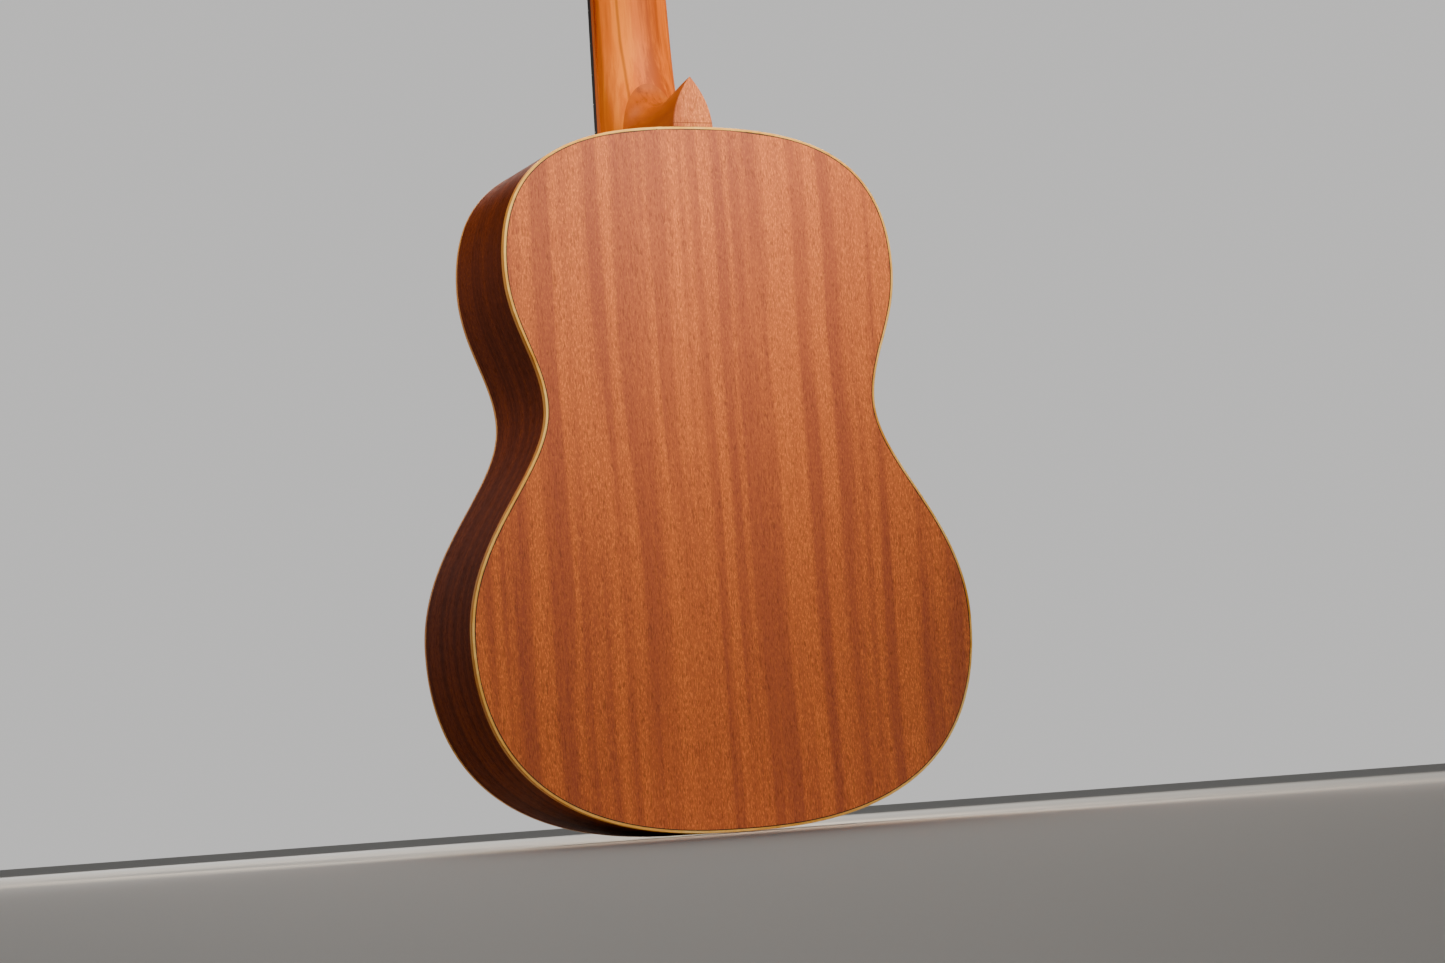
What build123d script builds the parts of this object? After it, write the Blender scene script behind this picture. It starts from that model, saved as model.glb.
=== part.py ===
from build123d import *
from math import atan2, cos, degrees, hypot, pi, radians, sin, sqrt, tan
import os

# Classical (nylon-string) acoustic guitar, 650 mm scale, twelve frets clear of the body.
#
# Frame, in millimetres: +Z runs up the neck from the tail, +X is the treble side and +Y points
# from the soundboard to the back.  The origin is the middle of the tail end.

# ---- driving dimensions: body -----------------------------------------------------------
BODY_LENGTH = 488.0
DEPTH_TAIL, DEPTH_HEEL = 104.0, 102.0     # over the centre line, soundboard to back
BACK_ARCH_RADIUS = 9000.0                 # the back is a shallow cylinder across its width
BOUT_LOWER = (186.3, 138.0)               # half width and height of the lower bout
BOUT_WAIST = (123.5, 293.7)
BOUT_UPPER = (146.2, 390.0)
HANDLES = ((48.0, 137.5), (71.2, 44.7), (32.5, 40.5), (85.2, 79.4))  # pull at each curve's ends
POINTS_PER_CURVE = 7

BINDING_T = 1.7                           # also the thickness of the sides
BACK_BINDING_H, TOP_BINDING_H = 4.8, 3.8
PURFLING_T = 0.7
BACK_T, TOP_T = 2.5, 2.4
LINING_T, LINING_H = 5.5, 14.0
TOP_Y = -DEPTH_TAIL / 2                   # outer face of the soundboard
PLATE_INSET = BINDING_T + PURFLING_T
LINING_INSET = BINDING_T + LINING_T

# ---- driving dimensions: scale, soundhole, bridge ---------------------------------------
SCALE = 650.0
FRETS = 19
NUT_Z = BODY_LENGTH + SCALE / 2           # end of the fingerboard, where the scale starts
COMPENSATION = 1.5
SADDLE_Z = NUT_Z - SCALE - COMPENSATION
SOUNDHOLE_Z, SOUNDHOLE_R = 332.0, 43.0
ROSETTE_IN, ROSETTE_OUT, ROSETTE_T = 46.5, 58.0, 1.2
BRIDGE_W, BRIDGE_L = 190.0, 29.0
BRIDGE_TOP_Z = SADDLE_Z + 7.0             # bridge edge nearest the soundhole
WING_H, RIDGE_H, RIDGE_L = 4.0, 8.5, 10.5
TIE_BLOCK_W, TIE_BLOCK_L, TIE_BLOCK_H = 82.0, 12.0, 9.5
TIE_BLOCK_Z = BRIDGE_TOP_Z - BRIDGE_L + 1.0 + TIE_BLOCK_L / 2
SADDLE_L, SADDLE_T, SADDLE_FLOOR = 80.0, 2.8, 3.0

# ---- driving dimensions: neck and head --------------------------------------------------
NECK_HALF_NUT, NECK_HALF_BODY = 26.0, 31.0
BOARD_T, BOARD_END_Z = 6.0, 376.0
NUT_T, NUT_H = 5.0, 8.9
FRET_W, FRET_H, TANG_W, TANG_H = 2.0, 1.0, 0.6, 1.7
FRET_END = 0.35                           # each wire stops this far inside the board's edge
HEEL_JOINT = 26.0                         # depth of the glue line under the neck shaft
HEEL_CAP_T = 2.5
HEAD_ANGLE = 15.0
HEAD_T, VENEER_T = 17.0, 2.5
HEAD_HALF, HEAD_LENGTH, HEAD_CUT = 34.0, 186.0, 0.0
SLOT_IN, SLOT_OUT, SLOT_START, SLOT_END = 8.0, 24.0, 14.0, 142.0
POST_FIRST, POST_PITCH = 45.0, 39.0       # along the head from the nut

# ---- driving dimensions: tuning machines ------------------------------------------------
POST_DEPTH = -6.5                         # roller axis below the top of the head core
ROLLER_R, ROLLER_BORE, ROLLER_NECK = 5.0, 5.08, 3.0
PLATE_T, PLATE_W = 1.5, 15.0
TEETH, TOOTH_PITCH = 14, 2.8
ADDENDUM, DEDENDUM = 0.8, 1.0
WORM_PITCH_R = 2.6
GEAR_PITCH_R = TEETH * TOOTH_PITCH / (2 * pi)
GEAR_X, GEAR_FACE = HEAD_HALF + 5.3, 3.2  # middle of the gear, and its width
WORM_OFFSET = GEAR_PITCH_R + WORM_PITCH_R
SHAFT_R, SHAFT_BORE = WORM_PITCH_R - DEDENDUM, WORM_PITCH_R - DEDENDUM + 0.06
TAB_IN, TAB_OUT = 5.2, 7.2                # worm bearings, either side of the gear
BUTTON_Z = -19.5                          # top of the buttons, behind the head
SCREW_R = 1.2
ROLLER_STRING_X = (19.0, 16.0, 14.0)      # where the strings wind, by post from the nut

# ---- strings, from the lowest -----------------------------------------------------------
STRING_NAMES = ("6_low_e", "5_a", "4_d", "3_g", "2_b", "1_high_e")
STRING_D = (1.09, 0.89, 0.74, 1.02, 0.82, 0.71)
NUT_SPACING, BRIDGE_SPACING = 8.6, 11.6
STRING_H_NUT, STRING_H_SADDLE = 8.0, 12.6  # underside of the strings above the soundboard
TIE_HOLE_R, TIE_HOLE_H = 0.9, 5.0


# ---- helpers ----------------------------------------------------------------------------
def front_plane(y):
    """A sketch plane parallel to the soundboard: its local axes are X and Z."""
    return Plane(origin=(0, y, 0), x_dir=(1, 0, 0), z_dir=(0, -1, 0))


def slab(face, y_low, y_high):
    """A face drawn in X and Z, extruded from y_low to y_high."""
    return extrude(front_plane(y_high) * face, y_high - y_low)


def brick(x_range, y_range, z_range):
    size = [high - low for low, high in (x_range, y_range, z_range)]
    middle = [(high + low) / 2 for low, high in (x_range, y_range, z_range)]
    return Pos(*middle) * Box(*size)


def mirrored(shape):
    return mirror(shape, about=Plane.YZ)


def blend_line(table, at):
    """Value at a place on a table of (place, value), straight between its rows."""
    for (a, low), (b, high) in zip(table, table[1:]):
        if at <= b:
            return low + (high - low) * (at - a) / (b - a)
    return table[-1][1]


# ---- body outline -----------------------------------------------------------------------
def outline_curves():
    """Four cubic curves from the tail, by both bouts and the waist, to the heel."""
    stops = ((0.0, 0.0), BOUT_LOWER, BOUT_WAIST, BOUT_UPPER, (0.0, BODY_LENGTH))
    ways = ((1, 0), (0, 1), (0, 1), (0, 1), (-1, 0))
    curves = []
    for i, (pull_a, pull_b) in enumerate(HANDLES):
        (ax, az), (bx, bz) = stops[i], stops[i + 1]
        (ux, uz), (vx, vz) = ways[i], ways[i + 1]
        curves.append(((ax, az), (ax + ux * pull_a, az + uz * pull_a),
                       (bx - vx * pull_b, bz - vz * pull_b), (bx, bz)))
    return curves


def outline_points(inset):
    """Points along the treble half of the outline, moved inwards by the inset."""
    points = []
    curves = outline_curves()
    for index, (p, q, r, s) in enumerate(curves):
        count = POINTS_PER_CURVE + (index == len(curves) - 1)
        for step in range(count):
            t = step / POINTS_PER_CURVE
            place = [(1 - t) ** 3 * p[i] + 3 * (1 - t) ** 2 * t * q[i]
                     + 3 * (1 - t) * t * t * r[i] + t ** 3 * s[i] for i in (0, 1)]
            way = [(1 - t) ** 2 * (q[i] - p[i]) + 2 * (1 - t) * t * (r[i] - q[i])
                   + t * t * (s[i] - r[i]) for i in (0, 1)]
            length = hypot(*way)
            points.append((place[0] - way[1] / length * inset,
                           place[1] + way[0] / length * inset))
    return points


def outline_edge(inset):
    return Spline(*outline_points(inset), tangents=[(1, 0), (-1, 0)])


def half_plate(inset):
    edge = outline_edge(inset)
    return make_face([edge, Line(edge @ 1, edge @ 0)])


def half_ring(outer, inner):
    a, b = outline_edge(outer), outline_edge(inner)
    return make_face([a, Line(a @ 1, b @ 1), b, Line(b @ 0, a @ 0)])


def under_back(drop):
    """Everything in front of the back's outer surface, lowered by drop."""
    tilt = degrees(atan2(DEPTH_HEEL - DEPTH_TAIL, BODY_LENGTH))
    reach, radius = 230.0, BACK_ARCH_RADIUS - drop
    sag = radius - sqrt(radius ** 2 - reach ** 2)
    crown = -drop
    arc = ThreePointArc((-reach, crown - sag), (0, crown), (reach, crown - sag))
    floor_y = -DEPTH_TAIL - 60
    walls = Polyline(arc @ 1, (reach, floor_y), (-reach, floor_y), arc @ 0)
    section = Plane(origin=(0, DEPTH_TAIL / 2, 0), x_dir=(1, 0, 0),
                    z_dir=(0, sin(radians(tilt)), cos(radians(tilt)))) * make_face([arc, walls])
    return extrude(section, 560) + extrude(section, -40)


def between_back(shape, upper_drop, lower_drop):
    return (shape & under_back(upper_drop)) - under_back(lower_drop)


def body_envelope():
    half = slab(half_plate(0), TOP_Y - 20, DEPTH_TAIL)
    return half + mirrored(half)


# ---- body parts -------------------------------------------------------------------------
BACK_REACH = DEPTH_TAIL / 2 + 5           # beyond the back, for shapes trimmed to the arch
BLOCK_HALF, BLOCK_L = 36.0, 42.0          # neck block
END_HALF, END_L = 34.0, 18.0
GRAFT_HALF = 4.0


def neck_block():
    block = slab(Pos(0, BODY_LENGTH - BLOCK_L / 2) * Rectangle(2 * BLOCK_HALF, BLOCK_L),
                 TOP_Y + TOP_T, BACK_REACH)
    inner = slab(half_plate(BINDING_T), TOP_Y, BACK_REACH)
    return block & (inner + mirrored(inner)) & under_back(BACK_T)


def end_block():
    block = slab(Pos(0, END_L / 2) * Rectangle(2 * END_HALF, END_L), TOP_Y + TOP_T, BACK_REACH)
    inner = slab(half_plate(BINDING_T), TOP_Y, BACK_REACH)
    return block & (inner + mirrored(inner)) & under_back(BACK_T)


def side():
    wall = slab(half_ring(0, BINDING_T), TOP_Y + TOP_BINDING_H, BACK_REACH)
    graft = brick((-1, GRAFT_HALF), (TOP_Y, BACK_REACH), (-5, 10))
    return (wall & under_back(BACK_BINDING_H)) - graft


def end_graft():
    wall = slab(half_ring(0, BINDING_T), TOP_Y + TOP_BINDING_H, BACK_REACH)
    strip = brick((0, GRAFT_HALF), (TOP_Y, BACK_REACH), (-5, 10))
    half = wall & strip & under_back(BACK_BINDING_H)
    return half + mirrored(half)


def back_half():
    return between_back(slab(half_plate(PLATE_INSET), 0, BACK_REACH), 0, BACK_T)


def top_half(rosette):
    hole = slab(Pos(0, SOUNDHOLE_Z) * Circle(SOUNDHOLE_R), TOP_Y - 5, TOP_Y + 5)
    return slab(half_plate(PLATE_INSET), TOP_Y, TOP_Y + TOP_T) - hole - rosette


def rosette_ring():
    ring = Circle(ROSETTE_OUT) - Circle(ROSETTE_IN)
    return slab(Pos(0, SOUNDHOLE_Z) * ring, TOP_Y, TOP_Y + ROSETTE_T)


def back_binding():
    return between_back(slab(half_ring(0, BINDING_T), 0, BACK_REACH), 0, BACK_BINDING_H)


def back_purfling():
    return between_back(slab(half_ring(BINDING_T, PLATE_INSET), 0, BACK_REACH), 0, BACK_T)


def top_binding():
    return slab(half_ring(0, BINDING_T), TOP_Y, TOP_Y + TOP_BINDING_H)


def top_purfling():
    return slab(half_ring(BINDING_T, PLATE_INSET), TOP_Y, TOP_Y + TOP_T)


def linings(blocks):
    """Glue strips inside the sides: one at the back and one at the soundboard, per side."""
    ring = half_ring(BINDING_T, LINING_INSET)
    back = between_back(slab(ring, 0, BACK_REACH), BACK_T, BACK_T + LINING_H)
    top = slab(ring, TOP_Y + TOP_T, TOP_Y + TOP_T + LINING_H)
    return [piece - blocks for piece in (back, top)]


def inner_volume(inset):
    half = slab(half_plate(inset), TOP_Y, BACK_REACH)
    return half + mirrored(half)


BACK_BRACES_Z = (112.0, 250.0, 388.0)
BACK_BRACE_W, BACK_BRACE_H = 8.0, 15.0
SEAM_HALF, SEAM_T = 9.0, 1.8


def back_braces(inside):
    """Three bars across the back, and the strips that bridge its centre seam between them."""
    braces = []
    for z in BACK_BRACES_Z:
        bar = slab(Pos(0, z) * Rectangle(2 * BOUT_LOWER[0], BACK_BRACE_W), 0, BACK_REACH)
        braces.append(between_back(bar & inside, BACK_T, BACK_T + BACK_BRACE_H))
    stops = (END_L, *BACK_BRACES_Z, BODY_LENGTH - BLOCK_L)
    for a, b in zip(stops, stops[1:]):
        low = a + (BACK_BRACE_W / 2 if a in BACK_BRACES_Z else 0)
        high = b - (BACK_BRACE_W / 2 if b in BACK_BRACES_Z else 0)
        strip = slab(Pos(0, (low + high) / 2) * Rectangle(2 * SEAM_HALF, high - low), 0, BACK_REACH)
        braces.append(between_back(strip, BACK_T, BACK_T + SEAM_T))
    return braces


BARS_Z = (272.0, 398.0)                   # harmonic bars, below and above the soundhole
BAR_W, BAR_H = 6.0, 14.0
FAN_COUNT, FAN_SPACING, FAN_ANGLE = 7, 33.0, 4.5
FAN_W, FAN_H, FAN_LOW, FAN_HIGH = 4.5, 4.5, 48.0, BARS_Z[0] - BAR_W / 2
FAN_FOCUS = SADDLE_Z


def top_braces(inside):
    """Two harmonic bars, seven fan struts and two closing struts under the soundboard."""
    base = TOP_Y + TOP_T
    bars = [slab(Pos(0, z) * Rectangle(2 * BOUT_LOWER[0], BAR_W), base, base + BAR_H) & inside
            for z in BARS_Z]
    closing = []
    for side_sign in (1, -1):
        line = Pos(side_sign * 52, FAN_LOW - 14) * Rot(0, 0, side_sign * 24) * Rectangle(96, FAN_W)
        closing.append(slab(line, base, base + FAN_H) & inside)
    struts = []
    span = brick((-200, 200), (TOP_Y, 0), (FAN_LOW, FAN_HIGH))
    for k in range(FAN_COUNT):
        place = k - (FAN_COUNT - 1) / 2
        line = (Pos(place * FAN_SPACING, FAN_FOCUS) * Rot(0, 0, place * FAN_ANGLE)
                * Rectangle(FAN_W, 2 * BOUT_LOWER[0]))
        strut = slab(line, base, base + FAN_H) & inside & span
        struts.append(strut - closing[0] - closing[1])
    return bars + struts + closing


# ---- neck -------------------------------------------------------------------------------
# Depth of the carved neck under the fingerboard, from the body to the nut.
NECK_DEPTH = ((470.0, 36.6), (488.0, 36.0), (502.0, 35.0), (513.0, 33.0), (521.0, 30.6),
              (529.0, 28.2), (536.0, 26.0), (545.0, 23.4), (556.0, 21.0), (570.0, 19.1),
              (590.0, 18.0), (640.0, 17.4), (730.0, 16.6), (800.0, 16.0))
# The heel under the glue line: depth, half width at the body, height of the ridge, and the
# exponent of its outline, from 2 where the ridge is round to 1 where it is a sharp point.
HEEL_SECTIONS = ((26.0, 22.2, 536.3, 2.0), (28.2, 20.4, 529.3, 1.95), (31.0, 18.9, 524.6, 1.88),
                 (35.0, 17.5, 520.7, 1.78), (41.0, 16.2, 517.8, 1.62), (50.0, 15.2, 516.2, 1.42),
                 (60.0, 14.7, 516.6, 1.25), (72.0, 14.5, 518.8, 1.12), (86.0, 14.5, 521.6, 1.03),
                 (98.0, 14.5, 523.2, 1.0), (107.0, 14.5, 524.0, 1.0))
HEEL_ARCH = 2.15                          # exponent of the heel outline along Z at the point
HEAD_BLEND = ((808.0, 16.0, 2.6), (816.0, 17.4, 4.0), (824.0, 20.4, 7.0))
NECK_ROUND = 2.1                          # exponent of the neck's section


def neck_half(z):
    return NECK_HALF_NUT + (NECK_HALF_BODY - NECK_HALF_NUT) * (NUT_Z - z) / (SCALE / 2)


def carved_section(plane, half, depth, power):
    """A flat-topped section, round underneath: square-shouldered where power is large."""
    count = 8
    points = []
    for step in range(-count, count + 1):
        angle = step / count * pi / 2
        across = sin(angle)
        x = half * (abs(across) ** (2 / power)) * (1 if across >= 0 else -1)
        points.append((x, -depth * max(cos(angle), 0.0) ** (2 / power)))
    under = Spline(*points, tangents=[(0, -1), (0, 1)])
    return plane * make_face([under, Line(under @ 1, under @ 0)])


def neck_plane(z):
    """Section plane across the neck: local x is X, local y points out of the fingerboard."""
    return Plane(origin=(0, TOP_Y, z), x_dir=(1, 0, 0), z_dir=(0, 0, -1))


def neck_shaft():
    sections = [carved_section(neck_plane(z), neck_half(z), depth, NECK_ROUND)
                for z, depth in NECK_DEPTH]
    for z, depth, power in HEAD_BLEND:
        sections.append(carved_section(neck_plane(z), neck_half(z), depth, power))
    glue_side = brick((-60, 60), (TOP_Y, TOP_Y + HEEL_JOINT), (400, 900))
    under_head = head_plane() * Pos(0, 200, 100) * Box(200, 400, 400)
    return (loft(sections) & glue_side) - body_envelope() - under_head


def heel_section(half, tip, power):
    """The heel's outline at one depth: upright walls that curve in to a ridge on the middle."""
    foot, spring = BODY_LENGTH - 20, BODY_LENGTH - 3
    rise, arch = tip - spring, HEEL_ARCH + 0.45 * (power - 1)
    count = 8
    points = []
    for step in range(count + 1):
        angle = step / count * pi / 2
        points.append((half * max(cos(angle), 0.0) ** (2 / power),
                       spring + rise * sin(angle) ** (2 / arch)))
    point_angle = atan2(half * arch, rise)
    lean = point_angle + (pi / 2 - point_angle) * min(1.0, (power - 1) / 0.4)
    right = Spline(*points, tangents=[(0, 1), (-sin(lean), cos(lean))])
    left = Spline(*[(-x, z) for x, z in reversed(points)],
                  tangents=[(-sin(lean), -cos(lean)), (0, -1)])
    walls = [Line((half, foot), (half, spring)), Line((-half, spring), (-half, foot)),
             Line((-half, foot), (half, foot))]
    return make_face([right, left, *walls])


def whole_heel():
    sections = [front_plane(TOP_Y + depth) * heel_section(half, tip, power)
                for depth, half, tip, power in HEEL_SECTIONS]
    return loft(sections) - body_envelope()


# ---- head -------------------------------------------------------------------------------
def head_plane():
    """Head frame: local x is X, y runs along the head from the nut, z points out of its face."""
    a = radians(HEAD_ANGLE)
    return Plane(origin=(0, TOP_Y, NUT_Z + NUT_T), x_dir=(1, 0, 0), z_dir=(0, -cos(a), sin(a)))


def head_outline(start):
    """The head seen square on: concave shoulders, straight sides, and a plain arched crest."""
    shoulder = Bezier((NECK_HALF_NUT, 0), (NECK_HALF_NUT, 9), (HEAD_HALF, 6), (HEAD_HALF, 17))
    straight = HEAD_LENGTH - 24
    ear = ThreePointArc((HEAD_HALF, straight), (HEAD_HALF - 3, straight + 12),
                        (HEAD_HALF - 12, straight + 16))
    crest = ThreePointArc((HEAD_HALF - 12, straight + 16), (HEAD_HALF - 22, straight + 18.5),
                          (0, HEAD_LENGTH))
    lines = [Line((0, start), (NECK_HALF_NUT, start)), Line((NECK_HALF_NUT, start), shoulder @ 0),
             shoulder, Line(shoulder @ 1, ear @ 0), ear, crest, Line(crest @ 1, (0, start))]
    half = make_face(lines)
    return half + mirrored(half)


def head_slots():
    length = SLOT_END - SLOT_START
    width = SLOT_OUT - SLOT_IN
    slot = extrude(SlotOverall(length, width, rotation=90), 60, both=True)
    middle = ((SLOT_IN + SLOT_OUT) / 2, (SLOT_START + SLOT_END) / 2)
    return [head_plane() * Pos(x_sign * middle[0], middle[1]) * slot for x_sign in (1, -1)]


def posts():
    return [POST_FIRST + POST_PITCH * k for k in range(3)]


def along_x(radius, x_from, x_to):
    """A cylinder along X in the head frame, centred on the roller axis of the post at zero."""
    return (Pos((x_from + x_to) / 2, 0, POST_DEPTH)
            * Cylinder(radius, x_to - x_from, rotation=(0, 90, 0)))


def headstock():
    core = extrude(head_plane() * head_outline(-6), -HEAD_T)
    core = core - brick((-60, 60), (TOP_Y - 30, TOP_Y), (700, NUT_Z + NUT_T))
    for slot in head_slots():
        core = core - slot
    for y in posts():
        for x_sign in (1, -1):
            reach = sorted((x_sign * 4, x_sign * (HEAD_HALF + 1)))
            core = core - head_plane() * Pos(0, y, 0) * along_x(ROLLER_BORE, *reach)
    return core - head_end_cut()


def head_end_cut():
    """Everything on the neck's side of the head block's lower end."""
    return head_plane() * Pos(0, HEAD_CUT - 200, 0) * Box(200, 400, 200)


def head_veneer():
    sheet = extrude(head_plane() * head_outline(-6), VENEER_T)
    sheet = sheet - brick((-60, 60), (TOP_Y - 30, TOP_Y + 5), (700, NUT_Z + NUT_T))
    for slot in head_slots():
        sheet = sheet - slot
    return sheet


# ---- fingerboard and frets --------------------------------------------------------------
def cross_slab(face, x_low, x_high):
    """A face drawn in Z and Y, extruded across the guitar from x_low to x_high."""
    plane = Plane(origin=(x_high, 0, 0), x_dir=(0, 0, 1), z_dir=(-1, 0, 0))
    return extrude(plane * face, x_high - x_low)


def fret_z(number):
    return NUT_Z - SCALE * (1 - 2 ** (-number / 12))


def fingerboard():
    outline = Polyline((neck_half(BOARD_END_Z), BOARD_END_Z), (NECK_HALF_NUT, NUT_Z),
                       (-NECK_HALF_NUT, NUT_Z), (-neck_half(BOARD_END_Z), BOARD_END_Z), close=True)
    board = slab(make_face(outline), TOP_Y - BOARD_T, TOP_Y)
    for number in range(1, FRETS + 1):
        z = fret_z(number)
        board = board - brick((-40, 40), (TOP_Y - BOARD_T - 1, TOP_Y - BOARD_T + TANG_H),
                              (z - TANG_W / 2, z + TANG_W / 2))
    return board


def frets():
    """Domed wires with a tang, each a little shorter than the fingerboard is wide."""
    wires = []
    base, floor_y = TOP_Y - BOARD_T, TOP_Y - BOARD_T + TANG_H
    for number in range(1, FRETS + 1):
        z = fret_z(number)
        crown = ThreePointArc((z - FRET_W / 2, base), (z, base - FRET_H), (z + FRET_W / 2, base))
        tang = Polyline((z + FRET_W / 2, base), (z + TANG_W / 2, base), (z + TANG_W / 2, floor_y),
                        (z - TANG_W / 2, floor_y), (z - TANG_W / 2, base), (z - FRET_W / 2, base))
        half = neck_half(z) - FRET_END
        wires.append(cross_slab(make_face([crown, tang]), -half, half))
    return wires


# ---- strings ----------------------------------------------------------------------------
def string_x(index, spacing):
    return (index - 2.5) * spacing


def string_reach(index):
    """Distance of a string's centre line from what it rests on."""
    return STRING_D[index] / 2 + 0.03


def string_points(index):
    """Centre line of one string, from its tie over the saddle and the nut to its roller."""
    r = string_reach(index)
    bridge_x, nut_x = string_x(index, BRIDGE_SPACING), string_x(index, NUT_SPACING)
    hole, over = TOP_Y - TIE_HOLE_H, TOP_Y - TIE_BLOCK_H - r
    behind, front = TIE_BLOCK_Z - TIE_BLOCK_L / 2 - r, TIE_BLOCK_Z + TIE_BLOCK_L / 2 + r
    post = min(index, 5 - index)
    roller_x = ROLLER_STRING_X[post] * (1 if index > 2 else -1)
    end = head_plane() * Pos(roller_x, posts()[post], POST_DEPTH + ROLLER_R + r)
    return [(bridge_x + 1.6, over, front - 2.5), (bridge_x + 0.8, over, behind),
            (bridge_x, hole, behind), (bridge_x, hole, front),
            (bridge_x, TOP_Y - STRING_H_SADDLE - r, SADDLE_Z - 0.9),
            (nut_x, TOP_Y - STRING_H_NUT - r, NUT_Z), tuple(end.position)]


def string(index):
    """A string bent round each corner of its path without touching what it passes over."""
    path = FilletPolyline(*string_points(index), radius=string_reach(index))
    section = Plane(origin=path @ 0, z_dir=path % 0) * Circle(STRING_D[index] / 2)
    return sweep(section, path=path)


# ---- bridge, saddle and nut -------------------------------------------------------------
def bridge():
    low, high = BRIDGE_TOP_Z - BRIDGE_L, BRIDGE_TOP_Z
    centre = TIE_BLOCK_W / 2
    block_low, block_high = TIE_BLOCK_Z - TIE_BLOCK_L / 2, TIE_BLOCK_Z + TIE_BLOCK_L / 2
    shape = slab(Pos(0, (low + high) / 2) * RectangleRounded(BRIDGE_W, BRIDGE_L, 3.0),
                 TOP_Y - WING_H, TOP_Y)
    ridge_y, wing_y = TOP_Y - RIDGE_H, TOP_Y - WING_H
    ridge = Polyline((high - 1, TOP_Y), (high - 1, wing_y), (high - 4, ridge_y),
                     (high - RIDGE_L, ridge_y), (high - RIDGE_L, TOP_Y), close=True)
    shape = shape + cross_slab(make_face(ridge), -centre, centre)
    shape = shape + brick((-centre, centre), (TOP_Y - TIE_BLOCK_H, TOP_Y), (block_low, block_high))
    saddle_room = (TOP_Y - STRING_H_SADDLE, TOP_Y - SADDLE_FLOOR)
    shape = shape - brick((-SADDLE_L / 2, SADDLE_L / 2), saddle_room,
                          (SADDLE_Z - SADDLE_T / 2, SADDLE_Z + SADDLE_T / 2))
    for strip in tie_block_trim():
        shape = shape - strip
    for index in range(6):
        hole = Cylinder(TIE_HOLE_R, TIE_BLOCK_L + 8)
        shape = shape - Pos(string_x(index, BRIDGE_SPACING), TOP_Y - TIE_HOLE_H, TIE_BLOCK_Z) * hole
    return shape


def tie_block_trim():
    """Strips let into both top edges of the tie block, under the loops of the strings."""
    top, depth, half = TOP_Y - TIE_BLOCK_H, 1.6, TIE_BLOCK_L / 2
    return [brick((-TIE_BLOCK_W / 2, TIE_BLOCK_W / 2), (top, top + depth),
                  (TIE_BLOCK_Z + low, TIE_BLOCK_Z + low + 2.2)) for low in (-half, half - 2.2)]


def saddle():
    crest, back, front = TOP_Y - STRING_H_SADDLE, SADDLE_Z - SADDLE_T / 2, SADDLE_Z + SADDLE_T / 2
    shoulder = crest + SADDLE_T / 2
    dome = ThreePointArc((back, shoulder), (SADDLE_Z, crest), (front, shoulder))
    sides = Polyline((front, shoulder), (front, TOP_Y - SADDLE_FLOOR),
                     (back, TOP_Y - SADDLE_FLOOR), (back, shoulder))
    return cross_slab(make_face([dome, sides]), -SADDLE_L / 2, SADDLE_L / 2)


def nut():
    """The nut, with a groove for each string that falls away towards the string's roller."""
    shape = brick((-NECK_HALF_NUT, NECK_HALF_NUT), (TOP_Y - NUT_H, TOP_Y), (NUT_Z, NUT_Z + NUT_T))
    for index in range(6):
        (ax, ay, az), (bx, by, bz) = string_points(index)[-2:]
        run = (NUT_T + 1) / (bz - az)
        fall = hypot(by - ay, bz - az) / (bz - az)
        floor_y, wide = ay + string_reach(index) * fall, STRING_D[index] / 2 + 0.12
        out_x, out_y, out_z = ax + (bx - ax) * run, floor_y + (by - ay) * run, az + NUT_T + 1
        plan = Polyline((ax - wide, az), (ax + wide, az), (out_x + wide, out_z),
                        (out_x - wide, out_z), close=True)
        flank = Polyline((az, floor_y), (out_z, out_y), (out_z, TOP_Y - 20), (az, TOP_Y - 20),
                         close=True)
        groove = slab(make_face(plan), TOP_Y - 20, TOP_Y) & cross_slab(make_face(flank), -40, 40)
        shape = shape - groove
    return shape


# ---- tuning machines, drawn for the treble side with the post at y = 0 of the head frame ----
def tuner_plate():
    low, high = posts()[0] - 17, posts()[-1] + WORM_OFFSET + 12
    side_plane = Plane(origin=(HEAD_HALF, 0, POST_DEPTH), x_dir=(0, 1, 0), z_dir=(1, 0, 0))
    blank = side_plane * Pos((low + high) / 2, 0) * RectangleRounded(high - low, PLATE_W, 3)
    plate = extrude(blank, PLATE_T)
    for post in posts():
        plate = plate - Pos(0, post, 0) * along_x(ROLLER_NECK + 0.08, HEAD_HALF - 1, HEAD_HALF + 4)
        for z_sign in (1, -1):
            middle = POST_DEPTH + z_sign * (TAB_IN + TAB_OUT) / 2
            tab = Pos(HEAD_HALF + 4.7, post + WORM_OFFSET, middle) * Box(8.4, 7.2, TAB_OUT - TAB_IN)
            plate = plate + tab
        bore = Cylinder(SHAFT_BORE, 2 * TAB_OUT + 2)
        plate = plate - Pos(GEAR_X, post + WORM_OFFSET, POST_DEPTH) * bore
    for y in screw_places():
        plate = plate - Pos(0, y, 0) * along_x(SCREW_R, HEAD_HALF - 1, HEAD_HALF + 4)
    return plate


def screw_places():
    first, second, third = posts()
    return [first - 12, first + 22, second + 22, third + 17]


def plate_screw():
    outer = HEAD_HALF + PLATE_T
    shank = along_x(SCREW_R, outer - 9.5, outer)
    cap = along_x(2.4, outer, outer + 1.3)
    slot = Pos(outer + 1.3, 0, POST_DEPTH) * Rot(25, 0, 0) * Box(1.2, 6, 0.6)
    return (shank + cap) - slot


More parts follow.
